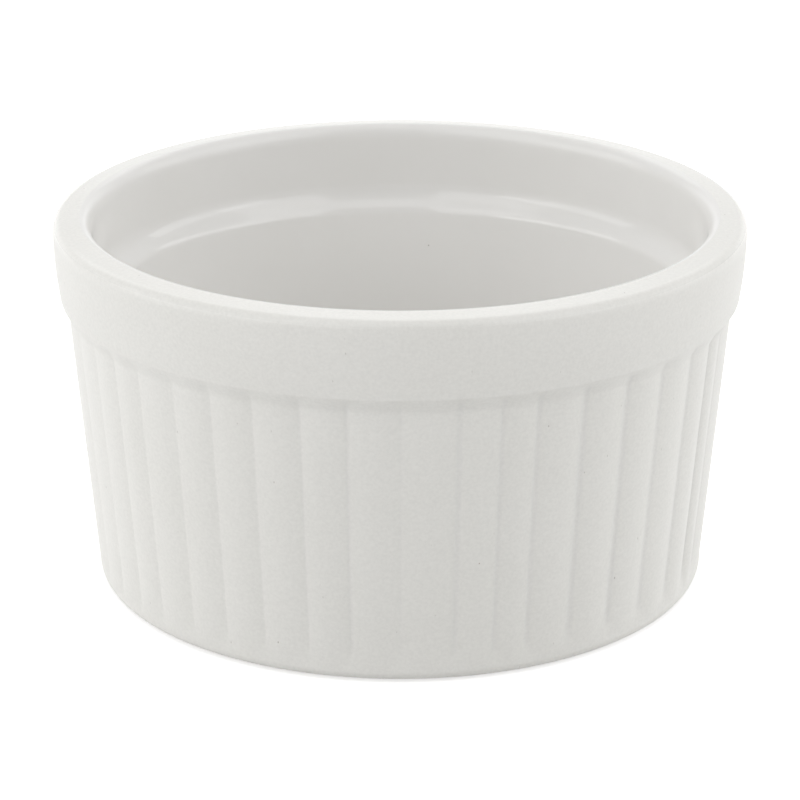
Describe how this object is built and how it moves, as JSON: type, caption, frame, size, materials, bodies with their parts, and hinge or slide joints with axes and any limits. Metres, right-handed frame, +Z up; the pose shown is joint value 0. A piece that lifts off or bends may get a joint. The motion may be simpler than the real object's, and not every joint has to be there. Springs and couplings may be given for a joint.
{
  "type": "creme brulee dish",
  "caption": "Round white ramekin with a plain band under a thick rounded rim, upright ribs round its leaning wall, a soft ledge inside and a bare foot ring, for baked custard.",
  "frame": {"origin": "on the table, at the centre of the foot ring", "axes": "+Z up along the dish's own axis, -Y towards the front of the picture"},
  "size_m": [0.09, 0.09, 0.049],
  "materials": {
    "bare_clay": "fired, unglazed, fine dry grain",
    "satin_glaze": "white satin glaze with a few fine pits",
    "gloss_glaze": "white gloss glaze"
  },
  "bodies": {
    "root": {"clay_body": "bare_clay", "outside_glaze": "satin_glaze", "inside_glaze": "gloss_glaze", "underside_glaze": "satin_glaze"}
  },
  "joints": []
}
